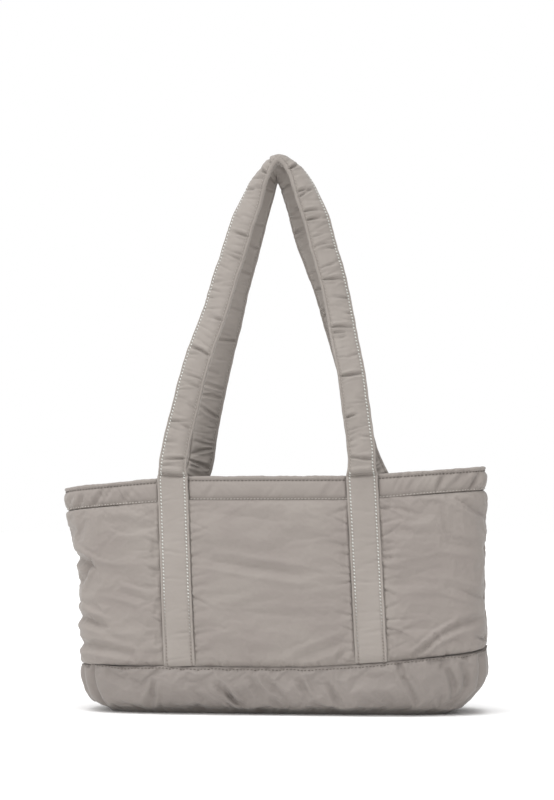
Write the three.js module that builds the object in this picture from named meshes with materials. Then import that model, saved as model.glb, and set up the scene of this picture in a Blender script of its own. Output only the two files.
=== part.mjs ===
// A small puffer tote bag: two padded panels on a boxed base, a stitched hem round the open rim,
// and two padded straps, each sewn up the panel from the base seam and carried over as a handle.
// Lengths are in millimetres. X runs along the bag, Y from the front to the back and Z up.
import * as THREE from 'three';

// Body sizes
const rimLength = 377;
const rimDepth = 84;
const baseLength = 350;
const baseDepth = 112;
const bodyHeight = 209;
const rimDropLeft = 10;
const rimRiseRight = 9;
const hemHeight = 21;
const baseBandHeight = 42;
const bandRiseRight = 18;
const baseEdgeInset = 21;

// Padding and seams
const wallThickness = 3.5;
const panelPuff = 6;
const bandPuff = 4.5;
const hemPuff = 2.6;
const puffReach = 7;
const floorThickness = 6;
const seamGap = 0.4;

// Straps and handles
const strapWidth = 28;
const strapSpacing = 168;
const strapLean = 12;
const frontStrapsLeft = 3.2;
const backStrapsRight = 3;
const strapThickness = 6;
const strapClearance = 0.5;
const handleWidth = 25;
const handleThickness = 9;
const handleRise = 294;
const handleLift = 6;
const handleGap = 15;
const backHandleDrop = 1;

// Number of faces
const endSlices = 11;
const strapSlices = 2;
const middleSlices = 12;
const panelRows = 15;
const liningRows = 5;
const strapRows = 9;
const archSteps = 3;
const strapCorners = 10;

const shellColour = '#a8a19b';
const strapColour = '#aca59f';
const baseColour = '#a39b95';

// Level sections of the body. up: share of the height. flare and close: 0 where the length and the
// depth are the base's, 1 where they are the rim's. left, right: stretch of each half. square: how
// boxed the corners are.
const sections = [
  { up: 0.0, flare: 0.0, close: 0.0, left: 0.955, right: 1.042, square: 4.2 },
  { up: 0.18, flare: 0.0, close: 0.0, left: 0.965, right: 1.06, square: 4.2 },
  { up: 0.31, flare: 0.03, close: 0.05, left: 0.953, right: 1.048, square: 3.6 },
  { up: 0.41, flare: 0.07, close: 0.12, left: 0.962, right: 1.03, square: 3.2 },
  { up: 0.51, flare: 0.18, close: 0.22, left: 0.966, right: 1.02, square: 2.9 },
  { up: 0.61, flare: 0.35, close: 0.38, left: 0.958, right: 1.009, square: 2.7 },
  { up: 0.72, flare: 0.56, close: 0.56, left: 0.981, right: 0.995, square: 2.5 },
  { up: 0.86, flare: 0.82, close: 0.8, left: 1.012, right: 0.992, square: 2.28 },
  { up: 1.0, flare: 1.0, close: 1.0, left: 1.018, right: 0.99, square: 2.1 },
];

// Folds of the padding. across: share of half the rim's length. up, reach, spread: place, half length
// and half width, as shares of the height. turn: degrees up from the X axis. deep: share of the puff.
const frontFolds = [
  { across: -0.93, up: 0.66, reach: 0.13, spread: 0.045, turn: -30, deep: 0.9 },
  { across: -0.72, up: 0.55, reach: 0.14, spread: 0.04, turn: -12, deep: 0.55 },
  { across: -0.95, up: 0.44, reach: 0.12, spread: 0.045, turn: -8, deep: 0.8 },
  { across: -0.82, up: 0.3, reach: 0.17, spread: 0.045, turn: -6, deep: 0.75 },
  { across: 0.82, up: 0.35, reach: 0.2, spread: 0.04, turn: 33, deep: 0.9 },
  { across: 0.95, up: 0.57, reach: 0.1, spread: 0.05, turn: -20, deep: 0.5 },
  { across: 0.0, up: 0.84, reach: 0.34, spread: 0.06, turn: -3, deep: 0.35 },
  { across: 0.32, up: 0.24, reach: 0.1, spread: 0.035, turn: 33, deep: 0.5 },
  { across: -0.57, up: 0.07, reach: 0.08, spread: 0.035, turn: 62, deep: 0.7 },
  { across: -0.22, up: 0.1, reach: 0.1, spread: 0.04, turn: -58, deep: 0.7 },
  { across: 0.02, up: 0.12, reach: 0.09, spread: 0.035, turn: -50, deep: 0.6 },
  { across: 0.38, up: 0.1, reach: 0.08, spread: 0.035, turn: -45, deep: 0.45 },
  { across: 0.71, up: 0.13, reach: 0.12, spread: 0.035, turn: -62, deep: 0.8 },
];
const backFolds = [
  { across: -0.9, up: 0.6, reach: 0.14, spread: 0.045, turn: 24, deep: 0.8 },
  { across: -0.78, up: 0.34, reach: 0.18, spread: 0.045, turn: -14, deep: 0.8 },
  { across: 0.86, up: 0.62, reach: 0.15, spread: 0.045, turn: 18, deep: 0.7 },
  { across: 0.8, up: 0.42, reach: 0.16, spread: 0.045, turn: -20, deep: 0.8 },
  { across: 0.05, up: 0.6, reach: 0.26, spread: 0.06, turn: 6, deep: 0.35 },
  { across: -0.4, up: 0.11, reach: 0.1, spread: 0.04, turn: 56, deep: 0.7 },
  { across: 0.1, up: 0.1, reach: 0.09, spread: 0.035, turn: -52, deep: 0.6 },
  { across: 0.55, up: 0.12, reach: 0.1, spread: 0.04, turn: 60, deep: 0.7 },
];

// The seam down each corner of the boxed base, with the gathers beside it. station: place round the
// body, 1 at the strap and 2 at the side seam. spread: share of the height. deep: share of the puff.
const cornerTucks = [
  { station: 1.62, spread: 0.03, deep: 1.0 },
  { station: 1.44, spread: 0.022, deep: 0.4 },
  { station: 1.79, spread: 0.022, deep: 0.45 },
];

// The hem from its lower seam up over the rim and down inside. up: share of the hem's height.
// out: share of the hem's puff, and in: share of the wall, each measured from the seams' surface.
const hemProfile = [
  { up: 0.0, out: 0.0, in: 0.0 },
  { up: 0.1, out: 0.62, in: 0.0 },
  { up: 0.3, out: 1.0, in: 0.0 },
  { up: 0.55, out: 0.95, in: 0.0 },
  { up: 0.72, out: 0.55, in: 0.0 },
  { up: 0.8, out: 0.05, in: 0.0 },
  { up: 0.89, out: 0.6, in: 0.0 },
  { up: 0.97, out: 0.45, in: 0.0 },
  { up: 1.0, out: 0.0, in: 0.35 },
  { up: 0.95, out: 0.0, in: 1.1 },
  { up: 0.8, out: 0.0, in: 1.3 },
  { up: 0.4, out: 0.0, in: 1.45 },
  { up: 0.0, out: 0.0, in: 1.0 },
];

// The base band down from its seam and under the floor. down: share of the way to the floor.
// puff: share of the band's puff. inset: share of the base edge's inset. shrink: towards the middle.
const bandProfile = [
  { down: 0.0, puff: 0.1, inset: 0.0, shrink: 1.0 },
  { down: 0.08, puff: 0.65, inset: 0.0, shrink: 1.0 },
  { down: 0.22, puff: 1.0, inset: 0.02, shrink: 1.0 },
  { down: 0.38, puff: 1.0, inset: 0.07, shrink: 1.0 },
  { down: 0.52, puff: 0.98, inset: 0.15, shrink: 1.0 },
  { down: 0.68, puff: 0.9, inset: 0.33, shrink: 1.0 },
  { down: 0.82, puff: 0.75, inset: 0.55, shrink: 1.0 },
  { down: 0.93, puff: 0.45, inset: 0.78, shrink: 1.0 },
  { down: 1.0, puff: 0.0, inset: 1.0, shrink: 1.0 },
  { down: 1.0, puff: 0.0, inset: 1.0, shrink: 0.55 },
];

// The middle line of each handle above the rim. up: share of the handle's rise. left, right: each
// leg's distance from the middle, as a share of its strap's distance at the rim. lean: share of the way
// from the rim to the handle's top. turn: degrees that the outer edge is turned towards the other handle.
const frontArch = [
  { up: 0, left: 1.0, right: 1.0, lean: 0, turn: 0 },
  { up: 0.04, left: 0.987, right: 1.0, lean: 0.02, turn: 0 },
  { up: 0.1, left: 0.949, right: 0.978, lean: 0.07, turn: 2 },
  { up: 0.2, left: 0.875, right: 0.929, lean: 0.16, turn: 6 },
  { up: 0.3, left: 0.801, right: 0.882, lean: 0.25, turn: 12 },
  { up: 0.4, left: 0.702, right: 0.813, lean: 0.34, turn: 16 },
  { up: 0.5, left: 0.586, right: 0.748, lean: 0.44, turn: 18 },
  { up: 0.6, left: 0.495, right: 0.678, lean: 0.54, turn: 19 },
  { up: 0.7, left: 0.396, right: 0.576, lean: 0.66, turn: 20 },
  { up: 0.8, left: 0.3, right: 0.482, lean: 0.78, turn: 24 },
  { up: 0.87, left: 0.214, right: 0.389, lean: 0.86, turn: 36 },
  { up: 0.93, left: 0.137, right: 0.297, lean: 0.93, turn: 52 },
  { up: 0.97, left: 0.065, right: 0.217, lean: 0.97, turn: 66 },
  { up: 1.0, left: -0.07, right: -0.07, lean: 1, turn: 78 },
];
const backArch = [
  { up: 0, left: 0.95, right: 0.97, lean: 0, turn: 0 },
  { up: 0.04, left: 0.915, right: 0.915, lean: 0.02, turn: 0 },
  { up: 0.1, left: 0.888, right: 0.855, lean: 0.07, turn: 2 },
  { up: 0.2, left: 0.825, right: 0.812, lean: 0.16, turn: 6 },
  { up: 0.3, left: 0.749, right: 0.771, lean: 0.25, turn: 10 },
  { up: 0.4, left: 0.668, right: 0.689, lean: 0.34, turn: 14 },
  { up: 0.5, left: 0.577, right: 0.595, lean: 0.44, turn: 16 },
  { up: 0.6, left: 0.497, right: 0.508, lean: 0.54, turn: 18 },
  { up: 0.7, left: 0.398, right: 0.391, lean: 0.66, turn: 20 },
  { up: 0.8, left: 0.302, right: 0.279, lean: 0.78, turn: 24 },
  { up: 0.87, left: 0.231, right: 0.216, lean: 0.86, turn: 34 },
  { up: 0.93, left: 0.157, right: 0.144, lean: 0.93, turn: 44 },
  { up: 0.97, left: 0.106, right: 0.092, lean: 0.97, turn: 52 },
  { up: 1.0, left: 0, right: 0, lean: 1, turn: 60 },
];

const front = -1;
const back = 1;
const strapOuterEdge = (strapSpacing + strapWidth) / 2;
const strapInnerEdge = (strapSpacing - strapWidth) / 2;
const innerStation = strapInnerEdge / strapOuterEdge;
const { lerp, clamp, degToRad } = THREE.MathUtils;

// A table that is read smoothly between its rows, by its first column.
function smoothTable(rows) {
  const [key, ...columns] = Object.keys(rows[0]);
  const places = rows.map((row) => row[key]);
  const values = rows.flatMap((row) => columns.map((column) => row[column]));
  const spline = new THREE.CubicInterpolant(places, values, columns.length);
  return (place) => {
    const found = spline.evaluate(clamp(place, places[0], places.at(-1)));
    return Object.fromEntries(columns.map((column, i) => [column, found[i]]));
  };
}

// A quarter of a level section: a superellipse from the middle of a face out to the side seam.
class QuarterSection extends THREE.Curve {
  constructor(reach, halfDepth, square) {
    super();
    Object.assign(this, { reach, halfDepth, square, arcLengthDivisions: 60 });
  }

  getPoint(share, target = new THREE.Vector2()) {
    const angle = (share * Math.PI) / 2;
    const x = Math.sin(angle);
    const y = Math.cos(angle);
    const size = (x ** this.square + y ** this.square) ** (-1 / this.square);
    return target.set(this.reach * x * size, this.halfDepth * y * size);
  }
}

const sectionAt = smoothTable(sections);
const knownQuarters = new Map();

function quarterAt(side, z) {
  const key = side + ':' + z.toFixed(4);
  if (!knownQuarters.has(key)) {
    const row = sectionAt(z / bodyHeight);
    const stretch = side < 0 ? row.left : row.right;
    const reach = (lerp(baseLength, rimLength, row.flare) / 2) * stretch;
    const halfDepth = lerp(baseDepth, rimDepth, row.close) / 2;
    knownQuarters.set(key, new QuarterSection(reach, halfDepth, row.square));
  }
  return knownQuarters.get(key);
}

// Distance round the body from the middle of a face to a station, to the left as a negative number.
// Station 0 is midway between the straps, 1 the strap's outer edge and 2 the side seam.
function girthAt(face, station, z) {
  const shift = strapLean * (1 - z / bodyHeight) + (face === front ? -frontStrapsLeft : backStrapsRight);
  if (Math.abs(station) <= 1) return station * strapOuterEdge + shift;
  const side = Math.sign(station);
  const whole = quarterAt(side, z).getLength();
  return side * lerp(strapOuterEdge + side * shift, whole, Math.abs(station) - 1);
}

// A point of the body's wall. out is its distance outwards from the surface that the seams lie on.
function wallPoint(face, station, z, out) {
  const girth = girthAt(face, station, z);
  const side = girth < 0 ? -1 : 1;
  const quarter = quarterAt(side, z);
  const share = clamp(Math.abs(girth) / quarter.getLength(), 0, 1);
  const place = quarter.getPointAt(share);
  const tangent = quarter.getTangentAt(share);
  const x = side * (place.x - tangent.y * out);
  const y = face * (place.y + tangent.x * out);
  return new THREE.Vector3(x, y, z);
}

// Heights of the rim, the hem's lower seam and the base seam at a station.
function rimAt(station) {
  const towardsEnd = clamp(Math.abs(station) - 0.8, 0, 1.2) / 1.2;
  return bodyHeight + (station < 0 ? -rimDropLeft : rimRiseRight) * towardsEnd;
}

function hemSeamAt(station) {
  return rimAt(station) - hemHeight;
}

function baseSeamAt(station) {
  const towardsRight = clamp((station - 0.2) / 1.8, 0, 1);
  return baseBandHeight + bandRiseRight * towardsRight ** 1.5;
}

// How full the padding is at a distance from a seam, from 0 at the seam to nearly 1.
function fullness(distance) {
  return 1 - Math.exp(-Math.max(distance, 0) / puffReach);
}

// The share of the padding that the straps and the side seam leave at a station.
function fullnessBetweenStraps(station, z) {
  const place = Math.abs(station);
  if (place > 1) {
    const whole = quarterAt(Math.sign(station), z).getLength() - strapOuterEdge;
    return fullness((place - 1) * whole) * fullness((2 - place) * whole);
  }
  return fullness(strapInnerEdge - place * strapOuterEdge);
}

function isUnderStrap(station) {
  const place = Math.abs(station);
  return place >= innerStation - 1e-6 && place <= 1 + 1e-6;
}

// How far the folds move the surface: a valley with a low ridge on each side.
function foldDepth(folds, x, z) {
  return folds.reduce((sum, fold) => {
    const turn = degToRad(fold.turn);
    const dx = x - (fold.across * rimLength) / 2;
    const dz = z - fold.up * bodyHeight;
    const along = (dx * Math.cos(turn) + dz * Math.sin(turn)) / (fold.reach * bodyHeight);
    const beside = (dz * Math.cos(turn) - dx * Math.sin(turn)) / (fold.spread * bodyHeight);
    const shape = (1 - 0.8 * beside ** 2) * Math.exp(-(along ** 2) - beside ** 2);
    return sum - fold.deep * shape;
  }, 0);
}

const foldsOf = (face) => (face === front ? frontFolds : backFolds);

function panelOut(face, station, z) {
  if (isUnderStrap(station)) return 0;
  const full =
    fullnessBetweenStraps(station, z) *
    fullness(z - baseSeamAt(station)) *
    fullness(hemSeamAt(station) - z);
  const x = wallPoint(face, station, z, 0).x;
  return panelPuff * full * (1 + 0.6 * foldDepth(foldsOf(face), x, z));
}

// One closed solid through rings of points. The last ring joins the first, or both ends are closed.
function loft(rings, joined = false) {
  const corners = rings[0].length;
  const index = [];
  const spans = joined ? rings.length : rings.length - 1;
  for (let r = 0; r < spans; r++) {
    const here = r * corners;
    const next = ((r + 1) % rings.length) * corners;
    for (let i = 0; i < corners; i++) {
      const j = (i + 1) % corners;
      index.push(here + i, here + j, next + j, here + i, next + j, next + i);
    }
  }
  if (!joined) {
    const last = (rings.length - 1) * corners;
    for (const [a, b, c] of endFaces(rings[0])) index.push(c, b, a);
    for (const [a, b, c] of endFaces(rings.at(-1))) index.push(last + a, last + b, last + c);
  }
  const geometry = new THREE.BufferGeometry().setFromPoints(rings.flat());
  geometry.setIndex(index);
  geometry.computeVertexNormals();
  return geometry;
}

// Triangles that close a ring, wound the same way as the ring.
function endFaces(ring) {
  const normal = new THREE.Vector3();
  ring.forEach((point, i) => normal.add(point.clone().cross(ring[(i + 1) % ring.length])));
  normal.normalize();
  const helper = Math.abs(normal.z) < 0.9 ? new THREE.Vector3(0, 0, 1) : new THREE.Vector3(1, 0, 0);
  const across = helper.cross(normal).normalize();
  const upwards = normal.clone().cross(across);
  const flat = ring.map((point) => new THREE.Vector2(point.dot(across), point.dot(upwards)));
  return THREE.ShapeUtils.triangulateShape(flat, []);
}

// Evenly spaced numbers from one end to the other, both included.
function steps(from, to, count) {
  return Array.from({ length: count + 1 }, (_, i) => lerp(from, to, i / count));
}

// Numbers that lie closer together at the two ends, where the padding curves down to a seam.
function easedSteps(from, to, count) {
  return steps(0, 1, count).map((share) => {
    const eased = 0.5 - 0.5 * Math.cos(share * Math.PI);
    return lerp(from, to, lerp(share, eased, 0.4));
  });
}

// Stations across one face, from its left side seam to its right one.
function faceStations() {
  return [
    ...easedSteps(-2, -1, endSlices),
    ...steps(-1, -innerStation, strapSlices).slice(1),
    ...easedSteps(-innerStation, innerStation, middleSlices).slice(1),
    ...steps(innerStation, 1, strapSlices).slice(1),
    ...easedSteps(1, 2, endSlices).slice(1),
  ];
}

// Stations all round the body: the front from left to right, then the back from right to left.
function bodyStations() {
  const across = faceStations();
  const forwards = across.slice(0, -1).map((station) => ({ face: front, station }));
  const backwards = across.slice(1).reverse().map((station) => ({ face: back, station }));
  return [...forwards, ...backwards];
}

function panel(face) {
  const sideGap = (1.5 * seamGap) / rimLength;
  const slices = faceStations().map((station) => {
    const inset = clamp(station, sideGap - 2, 2 - sideGap);
    const low = baseSeamAt(station) + seamGap;
    const high = hemSeamAt(station) - seamGap;
    const outside = easedSteps(low, high, panelRows).map((z) =>
      wallPoint(face, inset, z, panelOut(face, station, z)),
    );
    const inside = steps(high, low, liningRows).map((z) =>
      wallPoint(face, inset, z, -wallThickness),
    );
    return [...outside, ...inside];
  });
  return loft(face === front ? slices.reverse() : slices);
}

function hem() {
  const slices = bodyStations().map(({ face, station }) => {
    const full = isUnderStrap(station) ? 0 : fullnessBetweenStraps(station, bodyHeight);
    return hemProfile.map((row) => {
      const z = hemSeamAt(station) + row.up * hemHeight;
      const out = row.out * hemPuff * full - row.in * wallThickness;
      return wallPoint(face, station, z, out);
    });
  });
  return loft(slices.reverse(), true);
}

function tuckDepth(station) {
  return cornerTucks.reduce((sum, tuck) => {
    const distance = (Math.abs(station) - tuck.station) * (baseLength / 2 - strapOuterEdge);
    return sum - tuck.deep * Math.exp(-((distance / (tuck.spread * bodyHeight)) ** 2));
  }, 0);
}

// Moves a point of the base towards the middle, by a distance at the sides and then by a share.
function drawnIn(point, inset, share) {
  const x = share * (1 - (2 * inset) / baseLength);
  const y = share * (1 - (2 * inset) / baseDepth);
  return point.multiply(new THREE.Vector3(x, y, 1));
}

function base() {
  const around = bodyStations();
  const outside = bandProfile.map((row) =>
    around.map(({ face, station }) => {
      const z = baseSeamAt(station) * (1 - row.down);
      const x = wallPoint(face, station, z, 0).x;
      const folded = 1 + 0.6 * foldDepth(foldsOf(face), x, z) + tuckDepth(station);
      const point = wallPoint(face, station, z, row.puff * bandPuff * folded);
      return drawnIn(point, row.inset * baseEdgeInset, row.shrink);
    }),
  );
  const lining = [
    { height: 1, inset: wallThickness, shrink: 1 },
    { height: 0.4, inset: wallThickness, shrink: 1 },
    { height: 0, inset: baseEdgeInset, shrink: 1 },
    { height: 0, inset: baseEdgeInset, shrink: 0.55 },
  ];
  const inside = lining.map(({ height, inset, shrink }) =>
    around.map(({ face, station }) => {
      const z = lerp(floorThickness, baseSeamAt(station), height);
      return drawnIn(wallPoint(face, station, z, 0), inset, shrink);
    }),
  );
  return loft([...outside.reverse(), ...inside]);
}

// A strap's section at one place on its line. width points to its outer edge and out away from it.
function strapRing({ centre, width, out, breadth, thickness, mirrored }) {
  const ring = steps(0, 2 * Math.PI, strapCorners)
    .slice(1)
    .map((angle) => {
      const across = Math.sign(Math.cos(angle)) * Math.abs(Math.cos(angle)) ** 0.6;
      const through = Math.sign(Math.sin(angle)) * Math.abs(Math.sin(angle)) ** 0.8;
      return centre
        .clone()
        .addScaledVector(width, (across * breadth) / 2)
        .addScaledVector(out, (through * thickness) / 2);
    });
  return mirrored ? ring.reverse() : ring;
}

const strapStation = (side) => (side * strapSpacing) / 2 / strapOuterEdge;

// The sewn part of a strap, from the base seam up to the rim, along the panel and over the hem.
function sewnRings(face, side) {
  const station = strapStation(side);
  const low = baseSeamAt(station) + seamGap;
  return easedSteps(low, bodyHeight, strapRows).map((z) => {
    const thickness = strapThickness * lerp(0.45, 1, fullness(z - low));
    const centre = wallPoint(face, station, z, strapClearance + thickness / 2);
    const out = centre.clone().sub(wallPoint(face, station, z, 0)).normalize();
    const width = new THREE.Vector3(out.y, -out.x, 0).multiplyScalar(face * side);
    return strapRing({ centre, width, out, breadth: strapWidth, thickness, mirrored: face === back });
  });
}

function handle(face) {
  const leftLeg = sewnRings(face, -1);
  const rightLeg = sewnRings(face, 1).reverse();
  return loft([...leftLeg, ...archRings(face), ...rightLeg]);
}

// The free part of a handle: up the left leg, over the top and down the right leg.
function archRings(face) {
  const rows = face === front ? frontArch : backArch;
  const away = strapClearance + strapThickness / 2;
  const topDrop = (handleWidth / 2) * Math.cos(degToRad(rows.at(-1).turn)) + handleThickness / 2;
  const low = bodyHeight + handleLift;
  const high = bodyHeight + handleRise - topDrop - (face === back ? backHandleDrop : 0);
  const place = (row, side) => {
    const foot = wallPoint(face, strapStation(side), bodyHeight, away);
    const share = side < 0 ? row.left : row.right;
    return new THREE.Vector3(
      foot.x * share,
      lerp(foot.y, face * handleGap, row.lean),
      lerp(low, high, row.up),
    );
  };
  const top = rows.at(-1);
  const points = [
    ...rows.slice(0, -1).map((row) => place(row, -1)),
    place(top, -1),
    ...rows.slice(0, -1).reverse().map((row) => place(row, 1)),
  ];
  const turns = [...rows, ...rows.slice(0, -1).reverse()].map((row) => degToRad(row.turn));
  const line = new THREE.CatmullRomCurve3(points);
  const spans = points.length - 1;
  return steps(0, 1, spans * archSteps).map((share) => {
    const span = Math.min(Math.floor(share * spans + 1e-9), spans - 1);
    const turn = lerp(turns[span], turns[span + 1], share * spans - span);
    const along = line.getTangent(share);
    const outwards = new THREE.Vector3(-along.z, 0, along.x).normalize();
    const inwards = new THREE.Vector3(0, -face, 0);
    const width = outwards.clone().multiplyScalar(Math.cos(turn));
    width.addScaledVector(inwards, Math.sin(turn)).addScaledVector(along, -width.dot(along)).normalize();
    const out = width.clone().cross(along).multiplyScalar(face).normalize();
    const free = clamp((Math.min(share, 1 - share) * spans) / 2, 0, 1);
    const thickness = lerp(strapThickness, handleThickness, free);
    const breadth = lerp(strapWidth, handleWidth, free);
    const centre = line.getPoint(share);
    return strapRing({ centre, width, out, breadth, thickness, mirrored: face === back });
  });
}

function piece(name, geometry, color) {
  const material = new THREE.MeshStandardMaterial({ color, roughness: 0.85, metalness: 0 });
  const mesh = new THREE.Mesh(geometry, material);
  mesh.name = name;
  return mesh;
}

const bag = new THREE.Group();
bag.add(
  piece('front_panel', panel(front), shellColour),
  piece('back_panel', panel(back), shellColour),
  piece('base_panel', base(), baseColour),
  piece('rim_hem', hem(), shellColour),
  piece('front_handle', handle(front), strapColour),
  piece('back_handle', handle(back), strapColour),
);

// The origin is on the floor, under the middle of the bag's box.
const box = new THREE.Box3().setFromObject(bag);
const middle = box.getCenter(new THREE.Vector3());
bag.position.set(-middle.x, -middle.y, -box.min.z);

export default bag;
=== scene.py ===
import math

import bpy
import numpy as np
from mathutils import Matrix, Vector


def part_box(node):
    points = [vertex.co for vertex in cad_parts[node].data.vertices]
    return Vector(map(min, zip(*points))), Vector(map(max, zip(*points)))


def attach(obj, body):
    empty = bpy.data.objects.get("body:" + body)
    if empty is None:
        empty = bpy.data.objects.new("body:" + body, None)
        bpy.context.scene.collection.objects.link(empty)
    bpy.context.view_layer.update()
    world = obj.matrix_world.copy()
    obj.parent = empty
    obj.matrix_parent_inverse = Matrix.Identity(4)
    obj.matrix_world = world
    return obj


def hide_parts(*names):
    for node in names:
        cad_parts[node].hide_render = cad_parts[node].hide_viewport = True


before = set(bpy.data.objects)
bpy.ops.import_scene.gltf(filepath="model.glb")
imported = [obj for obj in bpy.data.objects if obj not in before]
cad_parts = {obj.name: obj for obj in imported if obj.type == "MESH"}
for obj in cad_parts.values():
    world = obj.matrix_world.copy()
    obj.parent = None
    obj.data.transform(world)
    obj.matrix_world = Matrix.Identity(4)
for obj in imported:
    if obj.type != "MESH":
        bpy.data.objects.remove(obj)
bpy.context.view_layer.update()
print("frame loaded")

# sizes are in millimetres until a mesh is made; they repeat the ones that the solids are built from
bag = {
    "rimLength": 377.0, "rimDepth": 84.0, "baseLength": 350.0, "baseDepth": 112.0,
    "bodyHeight": 209.0, "rimDropLeft": 10.0, "rimRiseRight": 9.0, "hemHeight": 21.0,
    "bandHeight": 42.0, "bandRiseRight": 18.0, "wall": 3.5,
    "strapWidth": 28.0, "strapSpacing": 168.0, "strapLean": 12.0, "frontLeft": 3.2, "backRight": 3.0,
    # up, flare, close, left, right, square: level sections, as in the solids
    "sections": (
        (0.00, 0.00, 0.00, 0.955, 1.042, 4.20), (0.18, 0.00, 0.00, 0.965, 1.060, 4.20),
        (0.31, 0.03, 0.05, 0.953, 1.048, 3.60), (0.41, 0.07, 0.12, 0.962, 1.030, 3.20),
        (0.51, 0.18, 0.22, 0.966, 1.020, 2.90), (0.61, 0.35, 0.38, 0.958, 1.009, 2.70),
        (0.72, 0.56, 0.56, 0.981, 0.995, 2.50), (0.86, 0.82, 0.80, 1.012, 0.992, 2.28),
        (1.00, 1.00, 1.00, 1.018, 0.990, 2.10),
    ),
}
# how far the cloth stops short of a seam, and how far the base and the hem lap over the panels
seams = {"gap": 0.3, "lap": 0.8}
strapOuter = (bag["strapSpacing"] + bag["strapWidth"]) / 2
strapInner = (bag["strapSpacing"] - bag["strapWidth"]) / 2
innerStation = strapInner / strapOuter


def lerp(a, b, t):
    return a + (b - a) * t


def smoothRead(places, values, at):
    places, values = np.asarray(places, float), np.asarray(values, float)
    slopes = np.gradient(values, places)
    at = np.clip(at, places[0], places[-1])
    i = np.clip(np.searchsorted(places, at) - 1, 0, len(places) - 2)
    w = places[i + 1] - places[i]
    t = (at - places[i]) / w
    low = (2 * t**3 - 3 * t**2 + 1) * values[i] + (t**3 - 2 * t**2 + t) * w * slopes[i]
    high = (3 * t**2 - 2 * t**3) * values[i + 1] + (t**3 - t**2) * w * slopes[i + 1]
    return low + high


def softStep(low, high, at):
    t = np.clip((at - low) / (high - low), 0, 1)
    return t * t * (3 - 2 * t)


def latticeAngle(i, j, seed):
    h = np.sin(i * 127.1 + j * 311.7 + seed * 74.7) * 43758.5453
    return (h - np.floor(h)) * 2 * math.pi


def noise(x, y, seed):  # smooth waves about one unit wide, from about -1 to 1
    x, y = np.broadcast_arrays(np.asarray(x, float), np.asarray(y, float))
    i, j = np.floor(x), np.floor(y)
    fx, fy = x - i, y - j
    u, v = (t * t * t * (t * (t * 6 - 15) + 10) for t in (fx, fy))

    def corner(di, dj):
        a = latticeAngle(i + di, j + dj, seed)
        return np.cos(a) * (fx - di) + np.sin(a) * (fy - dj)

    return 1.5 * lerp(lerp(corner(0, 0), corner(1, 0), u), lerp(corner(0, 1), corner(1, 1), u), v)


# the body's surface: quarter sections from the middle of a face out to the side seam
levels = np.linspace(-2, 224, 114)
shares = np.linspace(0, 1, 241)


def quarterTables():
    columns = np.array(bag["sections"]).T
    flare, close, left, right, square = (
        smoothRead(columns[0], column, levels / bag["bodyHeight"]) for column in columns[1:]
    )
    halfLength = lerp(bag["baseLength"], bag["rimLength"], flare) / 2
    halfDepth = lerp(bag["baseDepth"], bag["rimDepth"], close) / 2
    angle = np.linspace(0, math.pi / 2, len(shares))
    across, forward = np.sin(angle), np.cos(angle)
    points, lengths = [], []
    for stretch in (left, right):
        for k in range(len(levels)):
            size = (across ** square[k] + forward ** square[k]) ** (-1 / square[k])
            x, y = halfLength[k] * stretch[k] * across * size, halfDepth[k] * forward * size
            run = np.concatenate([[0], np.cumsum(np.hypot(np.diff(x), np.diff(y)))])
            points.append(np.stack([np.interp(shares, run / run[-1], c) for c in (x, y)], -1))
            lengths.append(run[-1])
    shape = (2, len(levels))
    return np.array(points).reshape(*shape, len(shares), 2), np.array(lengths).reshape(shape)


quarterPoints, quarterLengths = quarterTables()
quarterSlopes = np.gradient(quarterPoints, axis=2)
quarterSlopes /= np.linalg.norm(quarterSlopes, axis=-1, keepdims=True)


def levelOf(z):
    k = np.clip((z - levels[0]) / (levels[1] - levels[0]), 0, len(levels) - 1.001)
    return k.astype(int), k % 1


def wholeGirth(side, z):
    k, t = levelOf(z)
    return lerp(quarterLengths[side, k], quarterLengths[side, k + 1], t)


def girthAt(face, station, z):
    offset = np.where(face < 0, -bag["frontLeft"], bag["backRight"])
    shift = bag["strapLean"] * (1 - z / bag["bodyHeight"]) + offset
    sign = np.where(station < 0, -1.0, 1.0)
    whole = wholeGirth((sign > 0).astype(int), z)
    beyond = sign * lerp(strapOuter + sign * shift, whole, np.abs(station) - 1)
    return np.where(np.abs(station) <= 1, station * strapOuter + shift, beyond)


def wallPoints(face, station, z, out=0.0):
    face, station, z, out = np.broadcast_arrays(face * 1.0, station * 1.0, z * 1.0, out * 1.0)
    girth = girthAt(face, station, z)
    side = (girth >= 0).astype(int)
    sign = side * 2.0 - 1
    k, t = levelOf(z)
    u = np.clip(np.abs(girth) / wholeGirth(side, z), 0, 1) * (len(shares) - 1)
    i = np.minimum(u.astype(int), len(shares) - 2)
    s = (u - i)[..., None]
    t = t[..., None]

    def read(table):
        low = lerp(table[side, k, i], table[side, k, i + 1], s)
        return lerp(low, lerp(table[side, k + 1, i], table[side, k + 1, i + 1], s), t)

    place, slope = read(quarterPoints), read(quarterSlopes)
    slope /= np.linalg.norm(slope, axis=-1, keepdims=True)
    normal = np.stack([-sign * slope[..., 1], face * slope[..., 0], np.zeros_like(z)], -1)
    point = np.stack([sign * place[..., 0], face * place[..., 1], z], -1)
    return point + normal * out[..., None], normal


def rimAt(station):
    towardsEnd = np.clip(np.abs(station) - 0.8, 0, 1.2) / 1.2
    return bag["bodyHeight"] + np.where(station < 0, -bag["rimDropLeft"], bag["rimRiseRight"]) * towardsEnd


def hemSeamAt(station):
    return rimAt(station) - bag["hemHeight"]


def baseSeamAt(station):
    return bag["bandHeight"] + bag["bandRiseRight"] * np.clip((station - 0.2) / 1.8, 0, 1) ** 1.5


def betweenStraps(station, end=1.5):
    # 1 between the straps, fading to 0 towards the ends of the bag
    return 1 - softStep(1.0, end, np.abs(station))


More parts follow.
